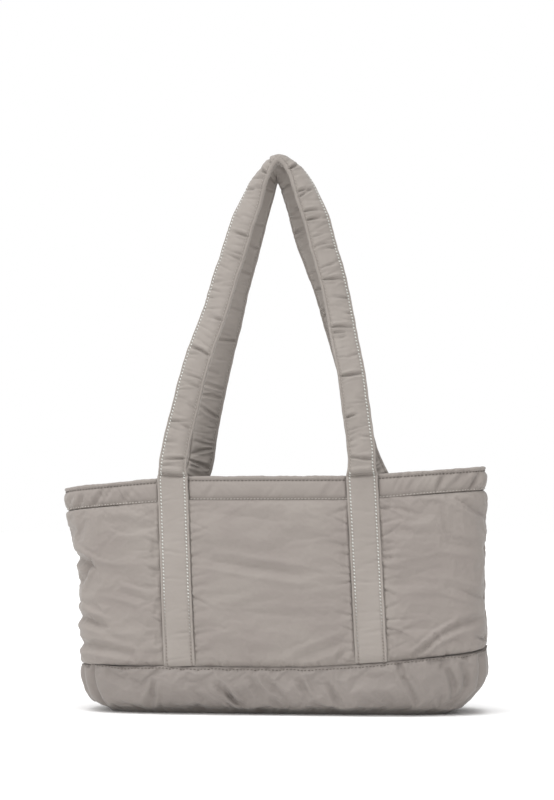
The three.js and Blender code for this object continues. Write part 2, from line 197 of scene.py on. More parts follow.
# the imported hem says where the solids' origin put the body
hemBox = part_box("rim_hem")
hemLevels = np.linspace(170, 218, 40)
leftEnd, rightEnd = (np.abs(wallPoints(-1, np.float64(end), hemLevels)[0][:, 0]).max() for end in (-2.0, 2.0))
centreShift = 500 * (hemBox[0][0] + hemBox[1][0]) - (rightEnd - leftEnd) / 2
print("body surface ready, moved", round(centreShift, 2), "mm")


def linearColour(code):
    channels = [int(code[i : i + 2], 16) / 255 for i in (1, 3, 5)]
    return [c / 12.92 if c <= 0.04045 else ((c + 0.055) / 1.055) ** 2.4 for c in channels] + [1.0]


def addNode(tree, kind, settings=None, inputs=None, **values):
    # inputs: by name or number, each a socket to link from or a value to set
    node = tree.nodes.new(kind)
    for name, value in (settings or {}).items():
        setattr(node, name, value)
    given = {name.replace("_", " "): value for name, value in values.items()}
    for key, value in {**(inputs or {}), **given}.items():
        if isinstance(value, bpy.types.NodeSocket):
            tree.links.new(value, node.inputs[key])
        else:
            node.inputs[key].default_value = value
    return node


def noiseNode(tree, place, size, detail, **values):
    # the size of one wave is in millimetres
    node = addNode(tree, "ShaderNodeTexNoise", Vector=place, Scale=1000 / size, Detail=detail, **values)
    return node.outputs["Fac"]


def bumpNode(tree, height, strength, distance, **values):
    node = addNode(tree, "ShaderNodeBump", Height=height, Strength=strength, Distance=distance, **values)
    return node.outputs["Normal"]


def rangeNode(tree, value, settings=None, **values):
    return addNode(tree, "ShaderNodeMapRange", settings, Value=value, **values).outputs["Result"]


def mixNode(tree, factor, first, second):
    colours = {"Factor": factor, 6: linearColour(first), 7: linearColour(second)}
    return addNode(tree, "ShaderNodeMix", {"data_type": "RGBA"}, colours).outputs[2]


def surfaceNode(tree, **values):
    shader = addNode(tree, "ShaderNodeBsdfPrincipled", **values)
    addNode(tree, "ShaderNodeOutputMaterial", Surface=shader.outputs["BSDF"])


def startMaterial(name):
    material = bpy.data.materials.new(name)
    material.use_nodes = True
    material.node_tree.nodes.clear()
    return material, material.node_tree


# nylon taffeta, tightly woven and calendered: matt with a slight sheen, and finely crinkled over its padding
nylon = {
    # the strap's two colours are the body's cloth painted lighter, as painted light on the handles
    "body": "#8d8680", "bodyShade": "#857d78", "strap": "#958e88", "strapShade": "#8c857f",
    # the base's two colours are the body's cloth painted darker, as painted shade on the band that faces down
    "base": "#87807b", "baseShade": "#7e7772",
    "roughness": 0.66, "uneven": 0.06, "sheen": 0.16, "sheenRoughness": 0.45, "specular": 0.35,
    # in mm; the yarns are about 0.1 mm apart, too fine to show, so the weave is drawn at 0.9 mm
    "patchSize": 55.56, "crinkleSize": 7.0, "crinkleHeight": 0.9, "weaveSize": 0.9, "weaveHeight": 0.2,
}


def nylonTaffeta(name, light, shade):
    material, tree = startMaterial(name)
    place = addNode(tree, "ShaderNodeTexCoord").outputs["Object"]
    patches = noiseNode(tree, place, nylon["patchSize"], 4.0, Roughness=0.6)
    tone = rangeNode(tree, patches, From_Min=0.3, From_Max=0.7)
    crinkle = noiseNode(tree, place, nylon["crinkleSize"], 3.0, Roughness=0.55, Distortion=0.6)
    weave = noiseNode(tree, place, nylon["weaveSize"], 1.0)
    crinkled = bumpNode(tree, crinkle, 0.35, nylon["crinkleHeight"] / 1000)
    low, high = nylon["roughness"] - nylon["uneven"], nylon["roughness"] + nylon["uneven"]
    surfaceNode(
        tree,
        Base_Color=mixNode(tree, tone, shade, light),
        Roughness=rangeNode(tree, crinkle, To_Min=low, To_Max=high),
        Normal=bumpNode(tree, weave, 0.25, nylon["weaveHeight"] / 1000, Normal=crinkled),
        Sheen_Weight=nylon["sheen"], Sheen_Roughness=nylon["sheenRoughness"], IOR=1.5,
        Specular_IOR_Level=nylon["specular"],
    )
    return material


# spun polyester sewing thread: twisted, so it is soft and a little glossy along its length
thread = {
    # the pale thread is painted a darker colour towards the base, as painted shade where its seams sink into
    # the padding
    "pale": "#d3d5d0", "paintedShade": "#7d746e", "tone": "#625a54", "grey": "#bab4ad", "cloth": "#a09992",
    "twistSize": 0.5556, "twistHeight": 0.3, "roughness": 0.55,
    # in mm: the heights between which the pale thread is painted darker as painted shade, and the size and
    # reach of its patches
    "paintedShadeBelow": 66.0, "unshadedAbove": 112.0, "patchSize": 22.22, "patchReach": 50.0,
}


def spunThread(name, code, paintedShade=None):
    material, tree = startMaterial(name)
    place = addNode(tree, "ShaderNodeTexCoord").outputs["Object"]
    twist = noiseNode(tree, place, thread["twistSize"], 2.0)
    colour = linearColour(code)
    if paintedShade:
        # painted shade: sunk into the cloth and darker towards the base, unevenly
        height = addNode(tree, "ShaderNodeSeparateXYZ", Vector=place).outputs["Z"]
        patch = noiseNode(tree, place, thread["patchSize"], 2.0)
        reach = thread["patchReach"] / 1000
        parts = {0: patch, 1: reach, 2: height}
        moved = addNode(tree, "ShaderNodeMath", {"operation": "MULTIPLY_ADD"}, parts).outputs["Value"]
        low, high = (thread[end] / 1000 + reach / 2 for end in ("paintedShadeBelow", "unshadedAbove"))
        unshaded = rangeNode(tree, moved, From_Min=low, From_Max=high)
        colour = mixNode(tree, unshaded, paintedShade, code)
    value = rangeNode(tree, twist, To_Min=0.86, To_Max=1.1)
    tint = addNode(tree, "ShaderNodeHueSaturation", Value=value, Color=colour)
    bump = bumpNode(tree, twist, 0.4, thread["twistHeight"] / 1000)
    surfaceNode(tree, Base_Color=tint.outputs["Color"], Normal=bump, Roughness=thread["roughness"])
    return material


shellNylon = nylonTaffeta("nylonTaffetaShell", nylon["body"], nylon["bodyShade"])
# painted light: the strap's cloth is a lighter copy of the body's
strapNylonPaintedLight = nylonTaffeta("nylonTaffetaStrapPaintedLight", nylon["strap"], nylon["strapShade"])
# painted shade: the base's cloth is a darker copy of the body's
baseNylonPaintedShade = nylonTaffeta("nylonTaffetaBasePaintedShade", nylon["base"], nylon["baseShade"])
paleThread = spunThread("spunPolyesterPalePaintedShade", thread["pale"], thread["paintedShade"])
toneThread = spunThread("spunPolyesterTone", thread["tone"])
greyThread = spunThread("spunPolyesterGrey", thread["grey"])
clothThread = spunThread("spunPolyesterCloth", thread["cloth"])
print("materials ready")


def addObject(name, data):
    added = bpy.data.objects.new(name, data)
    bpy.context.scene.collection.objects.link(added)
    return added


def loftMesh(name, slices, material, joined=False):
    # slices: rings of points, each closed on itself; the last slice joins the first, or both get caps
    count, corners = slices.shape[:2]
    points = slices.reshape(-1, 3).copy()
    points[:, 0] += centreShift
    r = np.arange(count if joined else count - 1)[:, None]
    c = np.arange(corners)[None, :]
    here, following = r * corners, ((r + 1) % count) * corners
    after = (c + 1) % corners
    faces = np.stack([here + c, here + after, following + after, following + c], -1).reshape(-1, 4).tolist()
    if not joined:
        faces.append(list(range(corners))[::-1])
        faces.append([(count - 1) * corners + i for i in range(corners)])
    mesh = bpy.data.meshes.new(name)
    mesh.from_pydata((points / 1000).tolist(), [], faces)
    mesh.validate()
    mesh.shade_smooth()
    mesh.materials.append(material)
    return addObject(name, mesh)


def creaseShape(beside, lip, place, spread, sharp=1.5):
    # a valley 1 deep, with a soft lip at a place beside it
    return lip * np.exp(-((beside - place) ** 2) / spread) - np.exp(-np.abs(beside) ** sharp)


def creases(x, z, rows):
    # each row: the two ends of a crease, its width and its depth
    total = np.zeros_like(x)
    for x0, z0, x1, z1, width, deep in rows:
        dx, dz = x1 - x0, z1 - z0
        length = math.hypot(dx, dz)
        along = ((x - x0) * dx + (z - z0) * dz) / length
        beside = ((x - x0) * dz - (z - z0) * dx) / length / width
        past = np.maximum(np.abs(along - length / 2) - length / 2, 0) / width
        taper = np.clip(1.15 - np.abs(along / length - 0.5) * 1.1, 0.25, 1) * np.exp(-(past**2))
        total += deep * taper * creaseShape(np.abs(beside), 0.42, 1.9, 0.7, 1.35)
    return total


def seamPuckers(along, away, seed, wave=8.0, reach=11.0):
    # little ridges that run away from a stitched seam, wider apart further off
    fine = noise(along / wave, away / (wave * 3.2) + 5, seed)
    broad = noise(along / (wave * 2.3), away / (wave * 6) + 9, seed + 3)
    swell = 1 - np.exp(-away / 1.6)
    return swell * (0.6 * fine * np.exp(-away / reach) + 0.75 * broad * np.exp(-away / (reach * 2.4)))


def whiskers(along, away, start, end, gap, reach, deep, seed):
    # short sharp creases that start in a seam, each with a lip on one side, and fade out in the cloth
    random = np.random.default_rng(seed)
    total = np.zeros(np.broadcast(along, away).shape)
    place = start
    while place < end:
        length, width = random.uniform(0.35, 1.0) * reach, random.uniform(0.8, 1.5)
        slope, bend = random.uniform(-0.4, 0.4), random.uniform(-0.02, 0.02)
        depth = random.uniform(0.35, 1.0) * deep
        near = np.abs(along - place) < 16
        t = away[near] / length
        middle = place + slope * away[near] + bend * away[near] ** 2
        beside = (along[near] - middle) / (width * (1 + 0.8 * t))
        fade = np.clip(1 - t, 0, 1) ** 0.8 * np.clip(away[near] / 0.8, 0.25, 1)
        total[near] += depth * fade * creaseShape(beside, 0.45, 1.7, 1.2)
        place += random.uniform(0.5, 1.5) * gap
    return total


def fullness(away, quick=0.6, slow=13.0, share=0.55):
    # how far the padding has risen, away from a seam: at once by a share, and slowly by the rest
    away = np.maximum(away, 0)
    return share * (1 - np.exp(-away / quick)) + (1 - share) * (1 - np.exp(-away / slow))


def doubled(values):
    # twice as many points along the first axis, on smooth curves through the given ones
    before, after = 2 * values[:1] - values[1:2], 2 * values[-1:] - values[-2:-1]
    padded = np.concatenate([before, values, after])
    result = np.empty((2 * len(values) - 1,) + values.shape[1:])
    result[::2] = values
    result[1::2] = (9 * (padded[1:-2] + padded[2:-1]) - padded[:-3] - padded[3:]) / 16
    return result


def sewLine(grid, depth, place, out, lift=0.25):
    # the line across a grid's second axis where the depth reaches a place, with the way out of the cloth
    points = np.array([[np.interp(place, d, p[:, c]) for c in range(3)] for d, p in zip(depth, grid)])
    return points + out * lift, out


def finer(grid):
    return doubled(doubled(grid).swapaxes(0, 1)).swapaxes(0, 1)


def surfaceNormals(grid, outwards):
    normal = np.cross(np.gradient(grid, axis=0), np.gradient(grid, axis=1))
    normal /= np.maximum(np.linalg.norm(normal, axis=-1, keepdims=True), 1e-9)
    return normal * np.sign(np.sum(normal * outwards, -1, keepdims=True))


# the two padded panels
panel = {
    "cloth": {"hold": 0.04, "spread": 0.016, "pressure": -2.0, "frames": 16, "reach": 3.5, "calm": 0.6},
    "puff": 5.6, "edgeOut": 0.9, "pucker": 0.8, "ripple": 0.65, "strapEdge": 1.3,
    "columnGap": 2.0, "rowGap": 2.0, "meanHeight": 146.0,
    "liningRows": 14, "liningSlack": 0.9, "liningIn": 0.6, "sideLap": 0.06,
    # each size, how wide and how high its waves are, and its share
    "ripples": ((60, 17, 1.0), (26, 9, 0.5)), "fine": 0.16,
    # gap, reach, deep: short creases out of the straps' seams, the base seam and the hem's seam
    "strapWhiskers": (10.5, 27.0, 1.6), "lowWhiskers": (13.0, 13.0, 0.8), "highWhiskers": (10.0, 10.0, 0.7),
    "whiskerEnds": (40, 206),
    # x0, z0, x1, z1, width, deep: creases seen in the cloth, on the front and on the back
    "frontCreases": (
        (-176, 139, -155, 128, 3.4, 5.2), (-157, 134, -166, 116, 2.7, 2.1), (-130, 106, -104, 99, 3.4, 1.8),
        (-172, 86, -143, 76, 3.7, 4.6), (-170, 62, -120, 53, 3.4, 3.7), (-150, 63, -112, 60, 4.1, 1.1),
        (-46, 134, 27, 123, 4.2, 1.7), (68, 58, 60, 47, 3, 2.3), (27, 50, 66, 64, 4, 1.7),
        (-60, 178, 10, 170, 9, 1.5), (-30, 92, 40, 84, 10, 1), (10, 150, 60, 158, 8, 0.9),
        (128, 53, 146, 69, 2.4, 3.4), (146, 69, 163, 79, 2.7, 3), (163, 79, 180, 86, 3.4, 2.5),
        (102, 190, 121, 177, 2.7, 1.1), (155, 192, 181, 176, 3.4, 1.8), (154, 112, 182, 102, 3.4, 2.2),
        (118, 120, 150, 131, 8, 0.9), (176, 69, 186, 66, 2, 2.5), (150, 150, 184, 144, 4.1, 1.7),
    ),
    "backCreases": (
        (-178, 128, -140, 142, 5, 3.6), (-175, 80, -128, 70, 6, 3.4), (-120, 58, -104, 88, 5, 1.6),
        (-60, 140, 10, 146, 8, 1), (-20, 90, 60, 78, 10, 0.9), (50, 176, 66, 160, 4, 1.2),
        (120, 150, 178, 128, 6, 3), (128, 70, 176, 92, 5.5, 3.2), (104, 120, 132, 112, 6, 1.2),
        (-60, 60, -20, 52, 5, 1.2), (160, 176, 182, 170, 5, 1.5), (-182, 168, -150, 160, 5, 1.4),
    ),
}


# nylon over soft filling, as the cloth solver takes it
softNylon = {"mass": 0.12, "airDamping": 4.0, "tension": 12.0, "shear": 4.0, "bending": 0.12, "damping": 6.0}


def settleCloth(grid, sewn, recipe, side=1, joined=False):
    # a grid of points as cloth that is a little larger than its seams, blown out softly by its padding; it is
    # sewn down where the caller says and along the first and last rows, and held loosely elsewhere
    count, corners = grid.shape[:2]
    index = np.arange(count * corners).reshape(count, corners)
    if joined:
        index = np.concatenate([index, index[:1]])
    faces = np.stack([index[:-1, :-1], index[:-1, 1:], index[1:, 1:], index[1:, :-1]], -1).reshape(-1, 4)
    mesh = bpy.data.meshes.new("cloth")
    mesh.from_pydata((grid.reshape(-1, 3) / 1000).tolist(), [], faces.tolist())
    cloth = addObject("cloth", mesh)
    group = cloth.vertex_groups.new(name="sewn")
    hold = np.where(sewn, 1.0, np.full(grid.shape[:2], recipe["hold"]))
    hold[:, [0, -1]] = 1.0
    weights = np.round(hold.ravel(), 2)
    for weight in np.unique(weights):
        if weight > 0:
            group.add(np.where(weights == weight)[0].tolist(), float(weight), "REPLACE")
    modifier = cloth.modifiers.new("cloth", "CLOTH")
    given = modifier.settings
    given.quality, given.mass, given.air_damping = 5, softNylon["mass"], softNylon["airDamping"]
    given.tension_stiffness = given.compression_stiffness = softNylon["tension"]
    given.shear_stiffness, given.bending_stiffness = softNylon["shear"], softNylon["bending"]
    given.tension_damping = given.compression_damping = given.shear_damping = softNylon["damping"]
    given.vertex_group_mass, given.pin_stiffness = "sewn", 1.0
    given.shrink_min = given.shrink_max = -recipe["spread"]
    given.use_pressure, given.uniform_pressure_force = True, side * recipe["pressure"]
    given.effector_weights.gravity = 0
    modifier.collision_settings.use_collision = False
    modifier.point_cache.frame_start, modifier.point_cache.frame_end = 1, recipe["frames"]
    scene = bpy.context.scene
    for now in range(1, recipe["frames"] + 1):
        scene.frame_set(now)
    result = cloth.evaluated_get(bpy.context.evaluated_depsgraph_get()).to_mesh()
    settled = np.empty(len(result.vertices) * 3, dtype=np.float32)
    result.vertices.foreach_get("co", settled)
    scene.frame_set(1)
    bpy.data.objects.remove(cloth)
    move = settled.reshape(grid.shape).astype(float) * 1000 - grid
    size = np.linalg.norm(move, axis=-1, keepdims=True)
    print("  cloth of", count * corners, "points moved", np.round(np.percentile(size, (50, 95, 100)), 2))
    return grid + move * np.minimum(1, recipe["reach"] / np.maximum(size, 1e-6))


def faceStations(gap):
    # stations across a face, with one at each edge of the two straps
    whole = [float(wholeGirth(side, np.float64(120.0))) for side in (0, 1)]
    runs = (
        (-2, -1, whole[0] - strapOuter), (-1, -innerStation, bag["strapWidth"]),
        (-innerStation, innerStation, 2 * strapInner), (innerStation, 1, bag["strapWidth"]),
        (1, 2, whole[1] - strapOuter),
    )
    stations = [np.array([-2.0])]
    for low, high, length in runs:
        stations.append(np.linspace(low, high, max(2, round(length / gap)) + 1)[1:])
    return np.concatenate(stations)


def distanceToStrap(station, z):
    # millimetres along the cloth to the nearest strap edge or side seam; 0 under a strap
    place = np.abs(station)
    whole = wholeGirth((station > 0).astype(int), z) - strapOuter
    outside = np.minimum(place - 1, 2 - place) * whole
    inside = (innerStation - place) * strapOuter
    return np.maximum(np.where(place > 1, outside, inside), 0)


def panelOut(face, station, z):
    side, up, down = distanceToStrap(station, z), z - baseSeamAt(station), hemSeamAt(station) - z
    atSide = fullness(side, 0.6, 13, np.where(np.abs(station) > 1.55, 0.8, 0.55))
    ends = softStep(0.95, 1.5, np.abs(station))
    atLow, atHigh = fullness(up, lerp(3.2, 1.3, ends), 11), fullness(down, lerp(2.6, 1.6, ends), 11)
    full = atSide * atLow * atHigh / fullness(40.0) ** 2
    x = wallPoints(face, station, z)[0][..., 0]
    seed, rows = (10, panel["frontCreases"]) if face < 0 else (40, panel["backCreases"])
    girth = girthAt(face, station, z)
    rough = seamPuckers(z, side, seed)
    for k, away in enumerate((up, down), 1):
        rough = rough + 0.5 * seamPuckers(girth, away, seed + k)
    ripple = sum(
        share * noise(girth / wide + 3 * k, z / high, seed + 5 + k)
        for k, (wide, high, share) in enumerate(panel["ripples"])
    )
    edge = np.minimum(1, fullness(side, 2, 4) * fullness(up, 2, 4) * fullness(down, 2, 4) * 1.2)
    out = panel["puff"] * full + edge * (panel["pucker"] * rough + panel["ripple"] * ripple)
    out = out + edge * creases(x, z, rows)
    place = np.abs(station) + 0 * z
    strapEdge = np.minimum(np.abs(place - 1), np.abs(place - innerStation)) < 1e-6
    out = np.where((side <= 1e-6) & (place < 1.5), np.where(strapEdge, panel["strapEdge"], 0.0), out)
    return out + panel["edgeOut"] * softStep(0, 5, up) * softStep(2.0, 1.97, np.abs(station))


def panelWhiskers(face, station, z):
    # the fields' creases beside the straps and side seams, then those above and below
    side, up, down = distanceToStrap(station, z), z - baseSeamAt(station), hemSeamAt(station) - z
    girth = girthAt(face, station, z)
    whole = wholeGirth((station > 0).astype(int), z)
    total = np.zeros_like(z)
    seed = 60 if face < 0 else 80
    stops = (-2.0, -1.5, -1.0, 0.0, 1.0, 1.5, 2.0)
    gap, reach, deepest = panel["strapWhiskers"]
    low, high = panel["whiskerEnds"]
    for k, (start, stop) in enumerate(zip(stops[:-1], stops[1:])):
        part = np.where((station >= start) & (station < stop), side, 1e3)
        span, deep = reach * (1.25 if k in (1, 4) else 1), deepest * (0.45 if k in (0, 5) else 1)
        total += whiskers(z, part, low, high, gap, span, deep, seed + k)
        total += whiskers(z, part, low + 2, high, gap * 0.7, span * 0.5, deep * 0.35, seed + 10 + k)
    total += whiskers(girth, up, -200, 200, *panel["lowWhiskers"], seed + 8)
    total += whiskers(girth, down, -200, 200, *panel["highWhiskers"], seed + 9)
    total += panel["fine"] * noise(girth / 5.5, z / 3.6, seed + 20) * np.clip(side / 6, 0, 1)
    for room in (up / 1.5, down / 1.5, side / 0.8, (whole - np.abs(girth)) / 2):
        total = total * np.clip(room, 0, 1)
    return total


def buildPanel(name, face):
    stations = faceStations(panel["columnGap"])
    rows = round(panel["meanHeight"] / panel["rowGap"])
    s = stations[:, None]
    low, high = baseSeamAt(s) + seams["gap"], hemSeamAt(s) - seams["gap"]
    z = lerp(low, high, np.linspace(0, 1, rows)[None, :])
    outside, _ = wallPoints(face, s, z, panelOut(face, s, z))
    settled = settleCloth(outside, distanceToStrap(s, z) < 0.5, panel["cloth"], face)
    share = lerp(panel["cloth"]["calm"], 1, softStep(0.7, 1.1, np.abs(s)))
    outside = lerp(outside, settled, share[..., None])
    outside, z = finer(outside), finer(z)
    s = doubled(s)
    _, wallNormal = wallPoints(face, s, z)
    outside += surfaceNormals(outside, wallNormal) * panelWhiskers(face, s + 0 * z, z)[..., None]
    down = np.linspace(0, 1, panel["liningRows"])[None, :]
    low, high = baseSeamAt(s) + seams["gap"], hemSeamAt(s) - seams["gap"]
    z = lerp(high, low, down)
    slack = panel["liningSlack"] * noise(girthAt(face, s, z) / 30, z / 24, 71 + face)
    inside, _ = wallPoints(face, s, z, -bag["wall"] - panel["liningIn"] - slack * np.sin(math.pi * down))
    slices = np.concatenate([outside, inside], 1)
    # the two panels meet in the side seams
    slices[[0, -1], :, 1] -= face * panel["sideLap"]
    return loftMesh(name, slices[::-1] if face < 0 else slices, shellNylon)


frontPanel = buildPanel("frontPanel", -1)
backPanel = buildPanel("backPanel", 1)
print("panels made")


# the boxed base: a padded band below the seam, rounded under to the floor, open inside
base = {
    # how far down the band, and how far in under the bag there
    "under": (
        (0, 0.22, 0.4, 0.6, 0.8, 0.9, 0.95, 0.975, 1), (0, 0.01, 0.04, 0.13, 0.34, 0.52, 0.68, 0.88, 1),
    ),
    "cloth": {"hold": 0.04, "spread": 0.028, "pressure": -2.0, "frames": 18, "reach": 3.2},
    "puff": 5.4, "pucker": 0.75, "ripple": 0.9, "edgeInset": 21.0, "floorThick": 6.0, "heel": 1.9,
    "rightTuck": 6.0, "lift": 1.3, "bandRows": 26, "columnGap": 2.3, "stitchDown": 2.6, "cornerStation": 1.6,
    "cornerSpan": 80.0, "whiskers": (11.0, 18.0, 1.0), "fine": 0.2, "liningIn": 0.6, "liningSlack": 0.9,
    "frontCreases": (
        (-100, 27, -103, 16, 2.4, 2.8), (-103, 16, -112, 5, 2.6, 3.6), (-46, 27, -34, 17, 2.6, 3.6),
        (-34, 17, -23, 7, 2.4, 4.2), (-38, 25, -30, 12, 2, 2.6), (-37, 10, -33, 2, 2.2, 4.2),
        (-15, 32, -4, 14, 3, 2.4), (-4, 34, 6, 23, 2.6, 2.2), (6, 23, 16, 17, 2.6, 2),
        (3, 14, 12, 6, 2.6, 2.4), (27, 31, 36, 16, 2.6, 2.4), (52, 28, 64, 11, 2.4, 2.8),
        (40, 12, 52, 6, 2.4, 2), (80, 19, 95, 8, 2.8, 1.8), (104, 20, 112, 9, 2.8, 1.8),
        (113, 47, 118, 33, 2.2, 3.2), (118, 33, 134, 11, 2.4, 4), (121, 38, 137, 15, 2, 2.6),
        (-142, 36, -128, 30, 4, 1.8), (-80, 32, -60, 27, 4.5, 1.4), (-66, 22, -52, 8, 3, 1.8),
        (156, 38, 166, 15, 2.6, 2.6), (167, 44, 174, 22, 2.2, 3.2), (150, 22, 160, 9, 2.6, 2),
    ),
    "backCreases": (
        (-120, 34, -108, 10, 2.8, 3.4), (-60, 30, -66, 8, 2.6, 3), (-20, 34, -8, 10, 2.6, 3),
        (30, 32, 24, 8, 2.8, 2.6), (70, 36, 86, 12, 2.6, 3.2), (118, 44, 112, 12, 2.6, 3.4),
        (-92, 22, -84, 6, 2.6, 2.4),
    ),
    # station, half width in mm, deep: the seam down each lower corner, and the gathers beside it
    "tucks": ((1.60, 3.0, 4.2), (1.44, 5.0, 1.3), (1.72, 3.0, 2.2), (1.86, 4.0, 0.8)),
}


def bodyStations(gap, halved=False):
    across = faceStations(gap)
    if halved:
        across = doubled(across)
    stations = np.concatenate([across[:-1], across[::-1][:-1]])
    faces = np.concatenate([-np.ones(len(across) - 1), np.ones(len(across) - 1)])
    return faces, stations


def around(grid):
    # twice as fine both ways, for a grid that joins up round the body
    return finer(np.concatenate([grid, grid[:1]]))[:-1]


def drawIn(points, inset):
    # closer to the middle, by a number of millimetres at the ends and the faces
    points[..., 0] *= 1 - 2 * inset / bag["baseLength"]
    points[..., 1] *= 1 - 2 * inset / bag["baseDepth"]


def shrunk(ring, shares):
    # smaller copies of a level ring, side by side in the grid
    return np.concatenate([ring * np.array([share, share, 1]) for share in shares], 1)


def buildBase():
    faces, stations = bodyStations(base["columnGap"])
    f, s = faces[:, None], stations[:, None]
    top = baseSeamAt(s)
    down = np.linspace(0, 1, base["bandRows"])[None, :] + 0 * s
    lap = seams["gap"] - seams["lap"] * betweenStraps(s)
    z = (top - lap) * (1 - down)
    girth = girthAt(f, s, z)
    point, normal = wallPoints(f, s, z)
    away = down * top
    full = fullness(away, lerp(3.0, 1.2, softStep(1.0, 1.6, np.abs(s))), 8) / fullness(30.0, 1.2, 8)
    under = smoothRead(*base["under"], down)
    seamAway = np.abs(np.abs(s) - base["cornerStation"]) * base["cornerSpan"]
    rough = seamPuckers(girth, away, 81, 10, 13) + 0.8 * seamPuckers(z, seamAway, 84, 9, 12)
    ripple = noise(girth / 26 + z / 40, z / 20, 86) + 0.6 * noise(girth / 13 - z / 22, z / 14, 87)
    x = point[..., 0]
    fold = np.where(f < 0, creases(x, z, base["frontCreases"]), creases(x, z, base["backCreases"]))
    tuck = sum(
        -deep * np.exp(-np.abs((np.abs(s) - place) * base["cornerSpan"] / width) ** 1.4)
        for place, width, deep in base["tucks"]
    )
    edge = np.clip(away / 4, 0, 1) * (1 - 0.7 * softStep(0.8, 1, down))
    uneven = base["pucker"] * rough + base["ripple"] * ripple + fold + tuck
    out = base["puff"] * full * (1 - under**1.5) + edge * uneven
    outside = point + normal * out[..., None]
    drawIn(outside, base["edgeInset"] * under)
    outside[..., 0] -= base["rightTuck"] * softStep(0.4, 0.9, down) * softStep(1.1, 1.7, s)
    # the lower edge is drawn up here and there, so it meets the floor unevenly
    outside[..., 2] += base["lift"] * softStep(0.7, 1, down) * np.maximum(noise(girth / 19, f, 92), 0)
    outside = settleCloth(outside, False, base["cloth"], joined=True)
    outside, z, down, away = around(outside), around(z), around(down), around(away)
    faces, stations = bodyStations(base["columnGap"], halved=True)
    f, s = faces[:, None], stations[:, None]
    top = baseSeamAt(s)
    _, normal = wallPoints(f, s, z)
    girth = girthAt(f, s, z)
    fine = whiskers(girth * f, away, -220, 220, *base["whiskers"], 95)
    fine += base["fine"] * noise(girth / 6, z / 5, 97)
    fine *= np.clip(away / 4, 0.1, 1) * np.clip((1 - down) / 0.1, 0, 1)
    outside += surfaceNormals(outside, normal) * fine[..., None]
    # the sole is raised behind the lower edge, which leaves a thin dark gap above the floor
    outside[..., 2] += base["heel"] * softStep(0.8, 0.93, down) * (1 - softStep(0.965, 1, down))
    outside[..., 2] = np.maximum(outside[..., 2], 0)
    seamLine = sewLine(outside, away, base["stitchDown"], normal[:, 4])
    soles = shrunk(outside[:, -1:, :] * np.array([1, 1, 0]), (0.93, 0.7, 0.45, 0.2))
    # the lining: down from the seam, round the inner edge and across the padded floor
    inner, _ = wallPoints(f, s, lerp(base["floorThick"], top, np.linspace(0.25, 1, 8)[None, ::-1]))
    drawIn(inner, bag["wall"] + base["liningIn"] + 6 * np.linspace(0, 1, 8)[None, :] ** 3)
    ground, _ = wallPoints(f, s, np.full_like(top, base["floorThick"] + 1.0))
    drawIn(ground, base["edgeInset"])
    grounds = shrunk(ground, (1.0, 0.85, 0.65, 0.4, 0.15))
    grounds[..., 2] += base["liningSlack"] * noise(grounds[..., 0] / 34, grounds[..., 1] / 26, 90)
    path = np.concatenate([soles[:, ::-1], outside[:, ::-1], inner, grounds], 1)
    return loftMesh("basePanel", np.ascontiguousarray(path.transpose(1, 0, 2)), baseNylonPaintedShade), seamLine


basePanel, baseLine = buildBase()
print("base made")


# the hem: a padded band with an edge-stitched roll along its top
hem = {
    "puff": 2.9, "pucker": 0.8, "rope": 1.25, "slant": 0.75, "flush": 0.55, "underStrap": 0.12,
    "columnGap": 1.1, "stitchLow": 0.062, "stitchHigh": 0.81,
    "frontCreases": (
        (-175, 181, -171, 192, 2.2, 2.4), (-161, 182, -151, 197, 2.4, 2.8), (-150, 188, -143, 200, 2.2, 2.2),
        (-185, 184, -181, 190, 2.2, 1.6), (-132, 187, -124, 197, 2.6, 1.4), (-56, 192, -49, 202, 2.6, 1.2),
        (120, 196, 128, 207, 2.2, 1.8), (146, 198, 152, 210, 2.2, 2.6), (160, 200, 170, 212, 2.4, 1.8),
        (175, 200, 182, 211, 2.2, 2.4), (48, 190, 56, 202, 3, 1),
    ),
    # the section: up the hem and out from the wall, then down the lining and in from the wall
    "outside": (
        (0, 0.9), (0.02, 1.3), (0.045, 1.5), (0.08, 1.5), (0.115, 1.75), (0.16, 2.35), (0.23, 2.8),
        (0.31, 3.1), (0.39, 3.25), (0.47, 3.2), (0.55, 3), (0.63, 2.7), (0.7, 2.3), (0.76, 1.6), (0.8, 1),
        (0.83, 1.1), (0.87, 1.7), (0.91, 2), (0.95, 1.8), (0.985, 1),
    ),
    "lining": (
        (1, 0.8), (0.99, 2.2), (0.95, 3.6), (0.88, 4.4), (0.8, 4.1), (0.74, 4.7), (0.6, 5.4), (0.4, 5.6),
        (0.2, 5), (0, 3.6),
    ),
}


